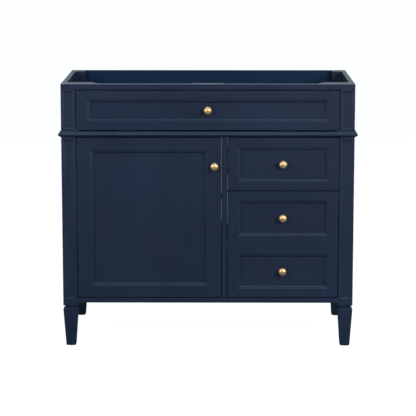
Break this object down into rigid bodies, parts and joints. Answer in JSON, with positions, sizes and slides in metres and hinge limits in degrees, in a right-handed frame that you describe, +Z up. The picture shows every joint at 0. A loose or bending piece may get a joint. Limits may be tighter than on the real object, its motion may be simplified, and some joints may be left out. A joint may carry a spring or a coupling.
{
  "type": "bathroom vanity cabinet",
  "caption": "Freestanding navy vanity cabinet with an open top: tip-out front, framed door, drawers, V-nosed moulding, tapered legs and domed knobs.",
  "frame": {"origin": "on the floor, under the middle of the whole object's box, knobs included", "axes": "+Z up; the front faces -Y; +X is the viewer's right when facing the front"},
  "size_m": [0.934, 0.483, 0.835],
  "materials": {
    "navy_paint": "satin navy paint on wood and fibreboard",
    "satin_brass": "satin brass",
    "zinc_steel": "zinc-plated steel",
    "black_steel": "black phosphate steel",
    "drawer_wood": "clear-coated solid wood",
    "plywood": "birch plywood",
    "glide_plastic": "black moulded plastic"
  },
  "bodies": {
    "cabinet": {"bottom_back_rail": "navy_paint", "bottom_front_rail": "navy_paint", "bottom_panel": "navy_paint", "centre_partition": "navy_paint", "corner_blocks": "navy_paint", "door_hinge_arms": "zinc_steel", "door_hinge_plates": "zinc_steel", "foot_glides": "glide_plastic", "front_left_leg": "navy_paint", "front_left_post": "navy_paint", "front_moulding": "navy_paint", "front_right_leg": "navy_paint", "front_right_post": "navy_paint", "left_moulding": "navy_paint", "left_side_panel": "navy_paint", "leg_bolts": "zinc_steel", "rear_left_leg": "navy_paint", "rear_left_post": "navy_paint", "rear_right_leg": "navy_paint", "rear_right_post": "navy_paint", "right_moulding": "navy_paint", "right_side_panel": "navy_paint", "shelf": "navy_paint", "shelf_pins": "zinc_steel", "side_filler_strips": "navy_paint", "slide_outer_members": "zinc_steel", "tip_out_catch": "navy_paint", "tip_out_hinge_fixed_leaves": "black_steel", "top_back_rail": "navy_paint", "top_front_rail": "navy_paint", "waist_rail": "navy_paint"},
    "door": {"door_hinge_stile": "navy_paint", "door_knob_stile": "navy_paint", "door_rails": "navy_paint", "door_panel": "navy_paint", "door_knob": "satin_brass", "door_hinge_cups": "zinc_steel"},
    "tip_out_front": {"tip_out_stiles": "navy_paint", "tip_out_rails": "navy_paint", "tip_out_panel": "navy_paint", "tip_out_knob": "satin_brass", "tip_out_tray_walls": "drawer_wood", "tip_out_tray_floor": "plywood", "tip_out_hinge_moving_leaves": "black_steel"},
    "upper_drawer": {"upper_drawer_stiles": "navy_paint", "upper_drawer_rails": "navy_paint", "upper_drawer_panel": "navy_paint", "upper_drawer_knob": "satin_brass", "upper_drawer_box_walls": "drawer_wood", "upper_drawer_box_floor": "plywood", "upper_slide_inner_members": "zinc_steel"},
    "lower_drawer": {"lower_drawer_stiles": "navy_paint", "lower_drawer_rails": "navy_paint", "lower_drawer_panels": "navy_paint", "lower_drawer_knobs": "satin_brass", "lower_drawer_box_walls": "drawer_wood", "lower_drawer_box_floor": "plywood", "lower_slide_inner_members": "zinc_steel"},
    "upper_slide_middles": {"upper_slide_middle_members": "zinc_steel"},
    "lower_slide_middles": {"lower_slide_middle_members": "zinc_steel"}
  },
  "joints": [
    {"name": "door_swing", "type": "hinge", "parent": "cabinet", "child": "door", "pos_m": [-0.38825, -0.2055, 0.4135], "axis": [0, 0, -1], "range_deg": [0, 90]},
    {"name": "tip_out_tilt", "type": "hinge", "parent": "cabinet", "child": "tip_out_front", "pos_m": [0, -0.2165, 0.68925], "axis": [1, 0, 0], "range_deg": [0, 35]},
    {"name": "upper_drawer_slide", "type": "slide", "parent": "cabinet", "child": "upper_drawer", "axis": [0, -1, 0], "range_m": [0, 0.335]},
    {"name": "lower_drawer_slide", "type": "slide", "parent": "cabinet", "child": "lower_drawer", "axis": [0, -1, 0], "range_m": [0, 0.335]},
    {"name": "upper_slide_middle_travel", "type": "slide", "parent": "cabinet", "child": "upper_slide_middles", "axis": [0, -1, 0], "range_m": [0, 0.17]},
    {"name": "lower_slide_middle_travel", "type": "slide", "parent": "cabinet", "child": "lower_slide_middles", "axis": [0, -1, 0], "range_m": [0, 0.17]}
  ],
  "couplings": [
    {"joint": "upper_slide_middle_travel", "follows": "upper_drawer_slide", "ratio": 0.5},
    {"joint": "lower_slide_middle_travel", "follows": "lower_drawer_slide", "ratio": 0.5}
  ]
}
